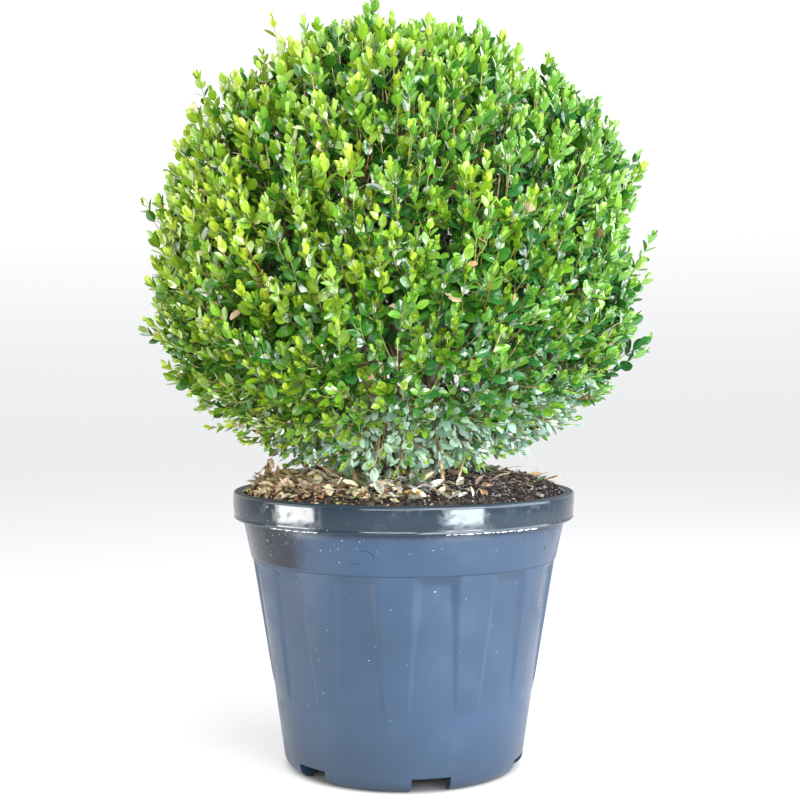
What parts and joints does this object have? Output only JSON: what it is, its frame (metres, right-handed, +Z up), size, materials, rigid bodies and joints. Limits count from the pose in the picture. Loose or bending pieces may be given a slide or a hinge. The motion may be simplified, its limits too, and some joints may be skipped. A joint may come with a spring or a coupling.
{
  "type": "clipped box ball in a nursery pot",
  "caption": "Evergreen box shrub clipped to a dense ball of small leaves, growing from compost in a round tapered plastic nursery pot with raised ribs.",
  "frame": {"origin": "centre of the pot's flat underside", "axes": "+Z up along the pot's axis, -Y towards the front of the picture, +X to the right"},
  "size_m": [0.5233, 0.5147, 0.7553],
  "materials": {
    "pot_plastic": "blue-grey moulded plastic, satin, glossier at the rim",
    "compost": "moist dark compost with bark chips and dead leaves on top",
    "bark": "grey-brown finely fissured bark",
    "foliage": "small glossy leaves, yellow-green when young"
  },
  "bodies": {
    "root": {"pot": "pot_plastic", "compost": "compost", "stem_middle": "bark", "stem_1": "bark", "stem_2": "bark", "stem_3": "bark", "stem_4": "bark", "stem_5": "bark", "stem_6": "bark", "bough_1": "bark", "bough_2": "bark", "bough_3": "bark", "bough_4": "bark", "bough_5": "bark", "bough_6": "bark", "foliage_top": "foliage", "foliage_upper_1": "foliage", "foliage_upper_2": "foliage", "foliage_upper_3": "foliage", "foliage_upper_4": "foliage", "foliage_upper_5": "foliage", "foliage_upper_6": "foliage", "foliage_lower_1": "foliage", "foliage_lower_2": "foliage", "foliage_lower_3": "foliage", "foliage_lower_4": "foliage", "foliage_lower_5": "foliage", "foliage_lower_6": "foliage"}
  },
  "joints": []
}
